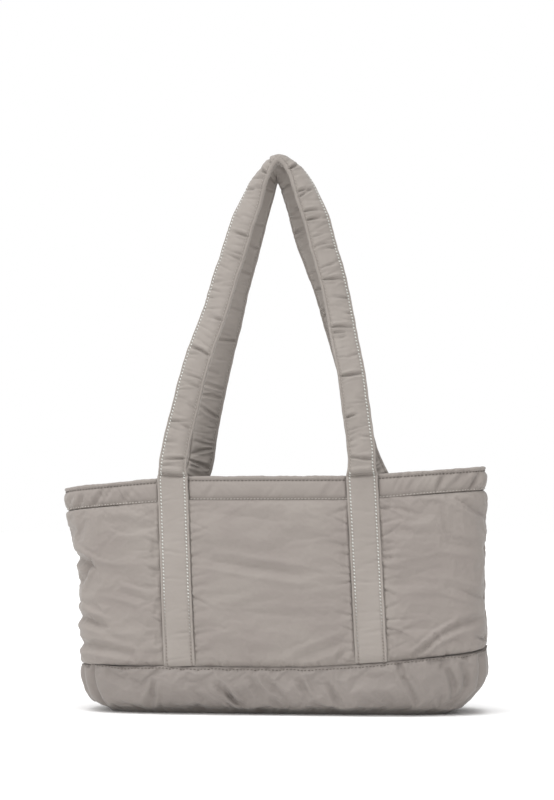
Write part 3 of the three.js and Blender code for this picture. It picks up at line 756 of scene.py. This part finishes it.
def buildHem():
    faces, stations = bodyStations(hem["columnGap"])
    f, s = faces[:, None], stations[:, None]
    rows = [(up, out, 0) for up, out in hem["outside"]] + [(up, 0, inwards) for up, inwards in hem["lining"]]
    up, out, inwards = np.array(rows, float).T[:, None, :]
    # the lower edge laps over the panels between the straps
    lap = 0.2 - seams["lap"] * betweenStraps(s)
    z = hemSeamAt(s) + lap + up * (bag["hemHeight"] - lap)
    side = distanceToStrap(s, hemSeamAt(s) + 10)
    atEnd = softStep(1.5, 1.8, np.abs(s))
    plump = lerp(0.45 + 0.55 * fullness(side, 0.9, 5) / fullness(40.0, 0.9, 5), 1, atEnd)
    under = (np.abs(s) >= innerStation - 1e-6) & (np.abs(s) <= 1 + 1e-6)
    plump = np.where(under, hem["underStrap"], plump)
    girth = girthAt(f, s, z) * f
    lean = np.where(s < 0, 1.0, -1.0) * f
    slant = girth + (up - 0.5) * bag["hemHeight"] * hem["slant"] * lean + 3 * noise(girth / 30, up, 100)
    body = np.clip(out / 2.5, 0, 1) * np.where(under, 0.1, 1)
    rope = noise(slant / 6.0, up * 0.9 + girth / 50, 101) + 0.55 * noise(slant / 3.2 + 7, up * 1.3, 102)
    ridged = 0.55 - 1.25 * np.abs(rope)
    calm = 0.4 + 0.7 * softStep(0.95, 1.35, np.abs(s))
    pucker = seamPuckers(girth, up * bag["hemHeight"], 103, 7, 9)
    pucker = pucker + seamPuckers(girth, np.abs(0.8 - up) * bag["hemHeight"], 105, 6, 6)
    x = wallPoints(f, s, z)[0][..., 0]
    fold = creases(np.where(f < 0, x, -x), z, hem["frontCreases"])
    rough = body * (hem["pucker"] * pucker + hem["rope"] * calm * ridged + fold)
    flush = 1 - hem["flush"] * betweenStraps(s, 1.4) * softStep(0.16, 0.08, up)
    lining = np.where(inwards > 1, 0.5 * noise(girth / 9, up * 2, 108), 0)
    points, _ = wallPoints(f, s, z, out * plump * flush * hem["puff"] / 3 + rough - inwards - lining)
    wave = 0.4 * noise(girth / 11, 0.5, 109) + 0.25 * noise(girth / 4, 0.5, 110)
    points[..., 2] += np.where(up > 0.9, wave, 0)
    _, normal = wallPoints(f[:, 0], s[:, 0], z[:, 0])
    outer = len(hem["outside"])
    rising = np.broadcast_to(up[:, :outer], (len(s), outer))
    lines = [sewLine(points[:, :outer], rising, hem[place], normal) for place in ("stitchLow", "stitchHigh")]
    return loftMesh("rimHem", points[::-1], shellNylon, joined=True), lines


rimHem, (hemLow, hemTop) = buildHem()
print("hem made")


# the two straps, each sewn down the panel and carried over the rim as a padded handle
handle = {
    "rise": 294.0, "lift": 6.0, "gap": 15.0, "backDrop": 1.0, "sewnThick": 3.9, "freeThick": 9.4,
    "topThick": 4.5, "sewnOut": 2.5, "width": 25.0, "step": 0.85, "stitchInset": 3.0, "pucker": 0.9,
    "smooth": 4, "stitchLift": 0.2, "lipOut": 0.42, "pinch": 3.6, "swell": 1.6, "kink": 1.7,
    "bulge": 0.13, "sag": 0.6, "edgeWave": 0.03, "fine": 0.22, "thinnest": 0.35,
    # up, left, right, lean, turn: the middle line of each handle, as in the solids
    "frontArch": (
        (0, 1.0, 1.0, 0, 0), (0.04, 0.987, 1.0, 0.02, 0), (0.1, 0.949, 0.978, 0.07, 2),
        (0.2, 0.875, 0.929, 0.16, 6), (0.3, 0.801, 0.882, 0.25, 12), (0.4, 0.702, 0.813, 0.34, 16),
        (0.5, 0.586, 0.748, 0.44, 18), (0.6, 0.495, 0.678, 0.54, 19), (0.7, 0.396, 0.576, 0.66, 20),
        (0.8, 0.3, 0.482, 0.78, 24), (0.87, 0.214, 0.389, 0.86, 36), (0.93, 0.137, 0.297, 0.93, 52),
        (0.97, 0.065, 0.217, 0.97, 66), (1.0, -0.07, -0.07, 1, 78),
    ),
    "backArch": (
        (0, 0.95, 0.97, 0, 0), (0.04, 0.915, 0.915, 0.02, 0), (0.1, 0.888, 0.855, 0.07, 2),
        (0.2, 0.825, 0.812, 0.16, 6), (0.3, 0.749, 0.771, 0.25, 10), (0.4, 0.668, 0.689, 0.34, 14),
        (0.5, 0.577, 0.595, 0.44, 16), (0.6, 0.497, 0.508, 0.54, 18), (0.7, 0.398, 0.391, 0.66, 20),
        (0.8, 0.302, 0.279, 0.78, 24), (0.87, 0.231, 0.216, 0.86, 34), (0.93, 0.157, 0.144, 0.93, 44),
        (0.97, 0.106, 0.092, 0.97, 52), (1.0, 0, 0, 1, 60),
    ),
    # leg, height above the rim, edge, slope, reach, deep: creases seen on the front handle's outer face and
    # on the back handle's inner one
    "frontCreases": (
        (-1, 17, -1, -4, 1, 3.6), (-1, 44, -1, 5, 0.6, 2), (-1, 81, -1, 2, 0.7, 2.2),
        (-1, 110, -1, 4, 1.2, 4), (-1, 142, -1, -3, 0.7, 2), (-1, 166, 1, -4, 0.7, 1.8),
        (-1, 196, -1, 3, 0.8, 2.2), (-1, 217, -1, 2, 0.7, 3.4), (-1, 256, 1, 3, 0.8, 2),
        (-1, 273, -1, 3, 0.8, 3.6), (-1, 281, -1, 5, 0.9, 3.2), (1, 17, -1, -3, 0.9, 3),
        (1, 33, 1, 3, 0.6, 1.8), (1, 52, -1, 4, 0.5, 3.4), (1, 89, -1, 0, 1.3, 4),
        (1, 134, -1, -4, 1.2, 3.4), (1, 156, 1, 4, 0.7, 2.4), (1, 177, -1, -4, 1.2, 3.2),
        (1, 205, -1, 3, 0.8, 2.2), (1, 231, -1, -3, 0.7, 4.2), (1, 239, -1, -4, 0.8, 2.8),
        (1, 257, -1, -3, 0.8, 2.4), (1, 277, -1, 2, 0.8, 4.4),
    ),
    "backCreases": (
        (-1, 15, 1, -4, 1.3, 3.8), (-1, 31, -1, 3, 1, 2.2), (-1, 57, -1, 10, 0.9, 3.6),
        (-1, 84, -1, 2, 1.1, 2.4), (-1, 129, -1, -4, 0.9, 3.4), (-1, 150, 1, 3, 0.6, 1.6),
        (-1, 190, -1, 3, 0.8, 2.2), (-1, 214, 1, 3, 0.8, 2.4), (1, 150, -1, 3, 0.8, 2),
        (1, 176, -1, -3, 0.8, 2.4), (1, 222, -1, 3, 0.8, 2), (1, 247, 1, -3, 0.9, 2.6),
    ),
    # the rest of the creases, in two sizes: gap, deep, crisp
    "creaseSizes": ((22, 3.0, 1.15), (7, 1.2, 0.8)),
    # share across the strap, from one edge to the middle
    "across": (
        1.0, 0.985, 0.955, 0.92, 0.88, 0.845, 0.81, 0.77, 0.715, 0.64, 0.56, 0.46, 0.345, 0.23, 0.115, 0.0,
    ),
}


def unit(v):
    return v / np.linalg.norm(v, axis=-1, keepdims=True)


def smoothLine(values, width):
    # a moving average that keeps the two ends where they are
    reach = int(width * 3)
    kernel = np.exp(-0.5 * (np.arange(-reach, reach + 1) / width) ** 2)
    kernel /= kernel.sum()
    head = 2 * values[:1] - values[reach:0:-1]
    tail = 2 * values[-1:] - values[-2 : -reach - 2 : -1]
    padded = np.concatenate([head, values, tail])
    return np.stack([np.convolve(padded[:, c], kernel, "valid") for c in range(values.shape[1])], -1)


def runAlong(line):
    return np.concatenate([[0], np.cumsum(np.linalg.norm(np.diff(line, axis=0), axis=1))])


def squareTo(along, width):
    return unit(width - along * np.sum(width * along, -1, keepdims=True))


def strapLine(face):
    # places along the strap with the directions across it and out of it, from one base seam to the other
    rows = handle["frontArch" if face < 0 else "backArch"]
    sewn = []  # places along each foot, and the direction across the strap there
    for side in (-1, 1):
        station = side * bag["strapSpacing"] / 2 / strapOuter
        low = baseSeamAt(np.float64(station)) + seams["gap"]
        z = np.linspace(low, bag["bodyHeight"] - 1, 60)
        away = handle["sewnOut"] * (0.35 + 0.65 * softStep(0, 5, z - low))
        away += softStep(bag["bodyHeight"] - 12, bag["bodyHeight"] - 2, z)
        point, normal = wallPoints(face, np.full_like(z, station), z, away)
        width = np.stack([normal[:, 1], -normal[:, 0], 0 * z], -1) * face * side
        sewn.append((point, width))
    topDrop = handle["width"] / 2 * math.cos(math.radians(rows[-1][4])) + handle["topThick"]
    low = bag["bodyHeight"] + handle["lift"]
    high = bag["bodyHeight"] + handle["rise"] - topDrop - (handle["backDrop"] if face > 0 else 0)
    up, left, right, lean, turn = np.array(rows, float).T

    def leg(share, foot):
        height = lerp(low, high, up)
        return np.stack([foot[0] * share, lerp(foot[1], face * handle["gap"], lean), height, turn], -1)

    arch = np.concatenate([leg(left, sewn[0][0][-1]), leg(right, sewn[1][0][-1])[:-1][::-1]])
    run = runAlong(arch[:, :3])
    at = np.linspace(0, run[-1], 300)
    free = np.stack([smoothRead(run, arch[:, c], at) for c in range(4)], -1)
    along = unit(np.gradient(free[:, :3], axis=0))
    outwards = unit(np.stack([-along[:, 2], 0 * at, along[:, 0]], -1))
    turned = np.radians(free[:, 3:4])
    width = squareTo(along, outwards * np.cos(turned) + np.array([0, -face, 0]) * np.sin(turned))
    line = np.concatenate([sewn[0][0], free[:, :3], sewn[1][0][::-1]])
    widths = np.concatenate([sewn[0][1], width, sewn[1][1][::-1]])
    run = runAlong(line)
    at = np.arange(0, run[-1], handle["step"])
    line, widths = (
        smoothLine(np.stack([np.interp(at, run, values[:, c]) for c in range(3)], -1), handle["smooth"])
        for values in (line, widths)
    )
    along = unit(np.gradient(line, axis=0))
    widths = squareTo(along, widths)
    loose = softStep(bag["bodyHeight"] - 1, bag["bodyHeight"] + 8, line[:, 2])
    return line, widths, unit(np.cross(widths, along) * face), at, loose


def chosenCreases(line, across, rows):
    # each row: leg, height above the rim, edge it starts from, slope, reach across the strap, depth
    depth = np.zeros((len(line), across.shape[1]))
    middle = int(np.argmax(line[:, 2]))
    run = np.arange(len(line)) * handle["step"]
    for leg, up, edge, slope, reach, deep in rows:
        half = slice(0, middle) if leg < 0 else slice(middle, None)
        place = run[half][np.argmin(np.abs(line[half, 2] - bag["bodyHeight"] - up))]
        t = np.abs((1 - across) / 2 - (0 if edge > 0 else 1))
        beside = (run[:, None] - place + leg * slope * t) / (1 + 0.7 * t)
        fade = np.clip(1 - (t / reach) ** 2, 0, 1)
        depth += deep * fade * creaseShape(np.abs(beside), 0.35, 2.0, 1.1)
    return depth


def strapCreases(at, across, seed, gap, deep, crisp):
    # creases across the padding, deepest at one stitched edge, each with a soft lip on both sides
    random = np.random.default_rng(seed)
    depth = np.zeros(np.broadcast(at, across).shape)
    away = np.broadcast_to((1 - across) / 2, depth.shape)
    place = 6.0
    while place < at[-1, 0]:
        side = random.choice([0, 1])
        width, size = random.uniform(0.8, 1.35) * crisp, random.uniform(0.35, 1.0) * deep
        slope, bend = random.uniform(-7, 7), random.uniform(-5, 5)
        reach = random.uniform(0.35, 1.15)
        near = np.where(np.abs(at[:, 0] - place) < 26)[0]
        t = np.abs(side - away[near])
        line = (at[near] - place - slope * t - bend * t**2) / (width * (1 + 0.5 * t))
        fade = np.clip(1 - (t / reach) ** 1.5, 0, 1)
        depth[near] += size * fade * creaseShape(np.abs(line), 0.35, 1.9, 1.1)
        place += random.uniform(0.5, 1.5) * gap
    return depth


def buildHandle(name, face):
    line, widths, outs, at, loose = strapLine(face)
    half = np.array(handle["across"])
    across = np.concatenate([half, -half[::-1][1:]])
    w = np.concatenate([across, across[::-1][1:-1]])[None, :]
    top = np.concatenate([np.ones(len(across)), -np.ones(len(across) - 2)])[None, :]
    a, loose = at[:, None], loose[:, None]
    breadth = lerp(bag["strapWidth"], handle["width"], loose) / 2
    channel = 1 - handle["stitchInset"] / (bag["strapWidth"] / 2)
    middle = np.clip(1 - (np.abs(w) / (channel + 0.05)) ** 2.8, 0, 1) ** 0.7
    lip = np.sqrt(np.clip(1 - ((np.abs(w) - (1 + channel) / 2) / ((1 - channel) / 2)) ** 2, 0, 1))
    cushion = np.maximum(0.2 + 0.8 * middle, handle["lipOut"] * lip)
    freeShape = handle["freeThick"] / 2 * cushion * (np.abs(w) < 0.999)
    edge = np.clip((1 - np.abs(w)) / 0.05, 0, 1) ** 0.5
    dip = np.exp(-(((np.abs(w) - channel) / 0.06) ** 2))
    sewnShape = handle["sewnThick"] / 2 * edge * (0.85 - 0.5 * dip + 0.3 * middle)
    shape = lerp(sewnShape, freeShape, loose)
    seed = 120 if face < 0 else 140
    wide = w * breadth
    away = np.maximum(breadth * channel - np.abs(wide), 0)
    rough = seamPuckers(a + 200 * (w > 0) + 400 * (top < 0), away, seed, 5.0, 6)
    outer, inner = (
        sum(strapCreases(a, w, first + k, *size) for k, size in enumerate(handle["creaseSizes"]))
        for first in (seed, seed + 2)
    )
    if face < 0:
        outer += chosenCreases(line, w, handle["frontCreases"])
    else:
        inner += chosenCreases(line, w, handle["backCreases"])
    crease = np.where(top > 0, outer, inner)
    # the padding is pinched where the strap leaves the rim, and swells above
    fromRim = line[:, 2:3] - bag["bodyHeight"] - 1.0 - 1.2 * w + 0.8 * noise(w * 3, face * 2.0, seed + 8)
    pinch = handle["swell"] * np.exp(-(((fromRim - 4.2) / 2.2) ** 2))
    pinch = pinch - handle["pinch"] * np.exp(-np.abs(fromRim / 1.3) ** 1.6)
    bulge = 1 + handle["bulge"] * noise(a / 17, top * 3.3 + w, seed + 4)
    height = shape * lerp(1, bulge, loose)
    fine = handle["pucker"] * rough + handle["fine"] * noise(a / 4.2, wide / 5 + top * 20, seed + 9)
    uneven = lerp(0.3, 1.0, loose) * (fine + crease) + (top > 0) * pinch
    height = height + uneven * np.clip(away / 2.2 + 0.2, 0, 1)
    height = np.maximum(height, handle["thinnest"]) * (np.abs(w) < 0.999)
    height = height * (0.4 + 0.6 * softStep(-1.0, 6.0, np.minimum(a, at[-1] - a)))
    sag = handle["sag"] * loose * noise(a / 18, 0.3, seed + 6)
    sag = sag - handle["kink"] * np.exp(-np.abs(fromRim / 1.7) ** 1.6)
    waver = handle["edgeWave"] * noise(a / 11, np.sign(w) * 4.0, seed + 7)
    wide = wide * (1 + waver * np.abs(w) * lerp(0.6, 1, loose))
    sideways, outward = widths[:, None] * wide[..., None], outs[:, None] * (top * height + sag)[..., None]
    points = line[:, None] + sideways + outward
    outerEdge, innerEdge = (int(np.argmin(np.abs(across - side * channel))) for side in (1, -1))
    underneath = 2 * len(across) - 2 - innerEdge
    lift = handle["stitchLift"]
    upper, lower = points + outs[:, None] * lift, points[:, underneath] - outs * lift
    sewn = line[:, 2] < bag["bodyHeight"] + 3
    low, high = np.argmin(sewn), len(sewn) - np.argmin(sewn[::-1])
    free, feet = slice(low, high), (slice(0, low), slice(high, None))
    # pale rows run along the outer edge and down both edges of the feet; the free part's inner edge has rows
    # in the cloth's colour on both of its faces
    rows = [(upper[:, outerEdge], outs)] + [(upper[part, innerEdge], outs[part]) for part in feet]
    quiet = [(upper[free, innerEdge], outs[free]), (lower[free], -outs[free])]
    piece = loftMesh(name, points[:, ::-1] if face > 0 else points, strapNylonPaintedLight)
    return piece, rows, quiet


frontHandle, frontRows, frontQuiet = buildHandle("frontHandle", -1)
backHandle, backRows, backQuiet = buildHandle("backHandle", 1)
print("handles made")


# stitches: one short thread for each, laid along a line that carries the direction out of the cloth
stitch = {"pitch": 3.0, "length": 2.15, "thread": 1.2, "slant": 0.75, "seed": 5}
seamStitch = dict(stitch, pitch=3.2, length=2.3, thread=0.95, slant=0.08)
hemStitch = dict(stitch, length=2.1, thread=0.85, slant=0.15)
quietStitch = dict(stitch, thread=0.8)


def stitchTree(name, material):
    tree = bpy.data.node_groups.new(name, "GeometryNodeTree")
    socket = tree.interface.new_socket
    socket("Geometry", in_out="INPUT", socket_type="NodeSocketGeometry")
    for label in ("Pitch", "Stitch Length", "Thread", "Slant"):
        socket(label, in_out="INPUT", socket_type="NodeSocketFloat")
    socket("Seed", in_out="INPUT", socket_type="NodeSocketInt")
    socket("Geometry", in_out="OUTPUT", socket_type="NodeSocketGeometry")

    def step(output, kind, settings=None, inputs=None, **values):
        return addNode(tree, kind, settings, inputs, **values).outputs[output]

    given = addNode(tree, "NodeGroupInput").outputs
    curve = step("Curve", "GeometryNodeMeshToCurve", Mesh=given["Geometry"])
    mode = {"mode": "LENGTH"}
    spaced = step("Curve", "GeometryNodeResampleCurve", mode, Curve=curve, Length=given["Pitch"])
    bead = step("Mesh", "GeometryNodeMeshUVSphere", Segments=6, Rings=4, Radius=0.5)
    length, thick = given["Stitch Length"], given["Thread"]
    size = step("Vector", "ShaderNodeCombineXYZ", X=length, Y=thick, Z=thick)
    strand = step("Geometry", "GeometryNodeTransform", Geometry=bead, Scale=size)
    along = step("Tangent", "GeometryNodeInputTangent")
    out = step("Attribute", "GeometryNodeInputNamedAttribute", {"data_type": "FLOAT_VECTOR"}, Name="out")
    axes = {"primary_axis": "X", "secondary_axis": "Z"}
    laid = step("Rotation", "FunctionNodeAxesToRotation", axes, Primary_Axis=along, Secondary_Axis=out)
    # each stitch leans by its own share of the slant
    leaning = {2: 0.6, 3: 1.4, "Seed": given["Seed"]}
    share = step(1, "FunctionNodeRandomValue", {"data_type": "FLOAT"}, leaning)
    slant = step("Value", "ShaderNodeMath", {"operation": "MULTIPLY"}, {0: given["Slant"], 1: share})
    angles = step("Vector", "ShaderNodeCombineXYZ", Z=slant)
    tilt = step("Rotation", "FunctionNodeEulerToRotation", Euler=angles)
    space = {"rotation_space": "LOCAL"}
    turned = step("Rotation", "FunctionNodeRotateRotation", space, Rotation=laid, Rotate_By=tilt)
    kind = "GeometryNodeInstanceOnPoints"
    placed = step("Instances", kind, Points=spaced, Instance=strand, Rotation=turned)
    whole = step("Geometry", "GeometryNodeRealizeInstances", Geometry=placed)
    coloured = step("Geometry", "GeometryNodeSetMaterial", Geometry=whole, Material=material)
    addNode(tree, "NodeGroupOutput", Geometry=coloured)
    return tree


def sewRows(name, rows, material, sizes):
    points, outs, edges = [], [], []
    for line, out in rows:
        start = sum(len(p) for p in points)
        points.append(line + np.array([centreShift, 0, 0]))
        outs.append(np.broadcast_to(out, line.shape))
        edges += [(start + i, start + i + 1) for i in range(len(line) - 1)]
    mesh = bpy.data.meshes.new(name + "Lines")
    mesh.from_pydata((np.concatenate(points) / 1000).tolist(), edges, [])
    directions = mesh.attributes.new("out", "FLOAT_VECTOR", "POINT")
    directions.data.foreach_set("vector", np.concatenate(outs).ravel())
    guide = addObject(name + "Lines", mesh)
    modifier = guide.modifiers.new("stitches", "NODES")
    modifier.node_group = stitchTree(name + "Tree", material)
    values = {
        "Pitch": sizes["pitch"] / 1000, "Stitch Length": sizes["length"] / 1000,
        "Thread": sizes["thread"] / 1000, "Slant": sizes["slant"], "Seed": sizes["seed"],
    }
    for item in modifier.node_group.interface.items_tree:
        if item.in_out == "INPUT" and item.name in values:
            modifier[item.identifier] = values[item.name]
    evaluated = guide.evaluated_get(bpy.context.evaluated_depsgraph_get())
    result = bpy.data.meshes.new_from_object(evaluated)
    result.name = name
    result.shade_smooth()
    bpy.data.objects.remove(guide)
    return addObject(name, result)


def closed(line):
    return tuple(np.concatenate([values, values[:1]]) for values in line)


strapStitches = sewRows("strapStitches", frontRows + backRows, paleThread, stitch)
handleStitches = sewRows("handleStitches", frontQuiet + backQuiet, clothThread, quietStitch)
shellStitches = sewRows("shellStitches", [closed(baseLine), closed(hemTop)], toneThread, seamStitch)
hemStitches = sewRows("hemStitches", [closed(hemLow)], greyThread, hemStitch)
print("stitches sewn")


for piece, node, slot in (
    (frontPanel, "front_panel", "shell"), (backPanel, "back_panel", "shell"),
    (basePanel, "base_panel", "shell"), (rimHem, "rim_hem", "shell"),
    (frontHandle, "front_handle", "strap"), (backHandle, "back_handle", "strap"),
):
    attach(piece, "root")
    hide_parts(node)
for piece, slot in (
    (strapStitches, "strap"), (handleStitches, "strap"), (shellStitches, "shell"), (hemStitches, "shell"),
):
    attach(piece, "root")


# a plain white floor, soft studio light and the photograph's camera
studio = {
    # in metres and degrees: the camera, and the height that its picture takes in at the bag
    "distance": 1.9, "azimuth": 6.5, "eye": 0.165, "aimX": 0.0026, "aimZ": 0.2785, "frameHeight": 0.722,
    "floor": "#fdfdfd", "floorReach": 40,
    "keyPower": 1.8, "keyUp": 76.0, "keyAround": -4.0, "keySpread": 42.0,
    # the white room: its strength away from and towards the large front light, and where that light is
    "roomLow": 0.26, "roomHigh": 1.28, "roomLight": (-0.55, -0.66, 0.5),
}


def buildStudio():
    mesh = bpy.data.meshes.new("floor")
    far = studio["floorReach"]
    mesh.from_pydata([(-far, -far, 0), (far, -far, 0), (far, far, 0), (-far, far, 0)], [], [(0, 1, 2, 3)])
    material, tree = startMaterial("paperFloor")
    surfaceNode(tree, Base_Color=linearColour(studio["floor"]), Roughness=0.9)
    mesh.materials.append(material)
    floor = addObject("floor", mesh)

    world = bpy.data.worlds.new("studio")
    world.use_nodes = True
    tree = world.node_tree
    tree.nodes.clear()
    ray = addNode(tree, "ShaderNodeLightPath").outputs["Is Camera Ray"]
    way = addNode(tree, "ShaderNodeTexCoord").outputs["Generated"]
    dot = {"operation": "DOT_PRODUCT"}
    facing = addNode(tree, "ShaderNodeVectorMath", dot, {0: way, 1: studio["roomLight"]}).outputs["Value"]
    strength = rangeNode(
        tree, facing, {"interpolation_type": "SMOOTHSTEP"},
        From_Min=-0.6, From_Max=1.0, To_Min=studio["roomLow"], To_Max=studio["roomHigh"],
    )
    glow, paper = (
        addNode(tree, "ShaderNodeBackground", Color=(1, 1, 1, 1), Strength=power).outputs["Background"]
        for power in (strength, 1.0)
    )
    # the camera sees plain white paper, and the bag is lit by the room
    either = addNode(tree, "ShaderNodeMixShader", inputs={0: ray, 1: glow, 2: paper})
    addNode(tree, "ShaderNodeOutputWorld", Surface=either.outputs["Shader"])
    bpy.context.scene.world = world
    light = bpy.data.lights.new("softKey", "SUN")
    light.energy, light.angle = studio["keyPower"], math.radians(studio["keySpread"])
    lamp = addObject("softKey", light)
    lamp.rotation_euler = (math.radians(90 - studio["keyUp"]), 0, math.radians(studio["keyAround"]))

    camera = bpy.data.cameras.new("camera")
    camera.sensor_fit, camera.sensor_height = "VERTICAL", 24
    camera.lens = camera.sensor_height * studio["distance"] / studio["frameHeight"]
    camera.clip_end = 200
    eye = addObject("camera", camera)
    turn = math.radians(studio["azimuth"])
    across = Vector((math.cos(turn), math.sin(turn), 0)) * studio["aimX"]
    back = Vector((math.sin(turn), -math.cos(turn), 0)) * studio["distance"]
    eye.location = across + back + Vector((0, 0, studio["eye"]))
    aim = across + Vector((0, 0, studio["aimZ"]))
    eye.rotation_euler = (aim - eye.location).to_track_quat("-Z", "Y").to_euler()
    bpy.context.scene.camera = eye
    bpy.context.scene.view_settings.view_transform = "Standard"


buildStudio()
print("studio ready")
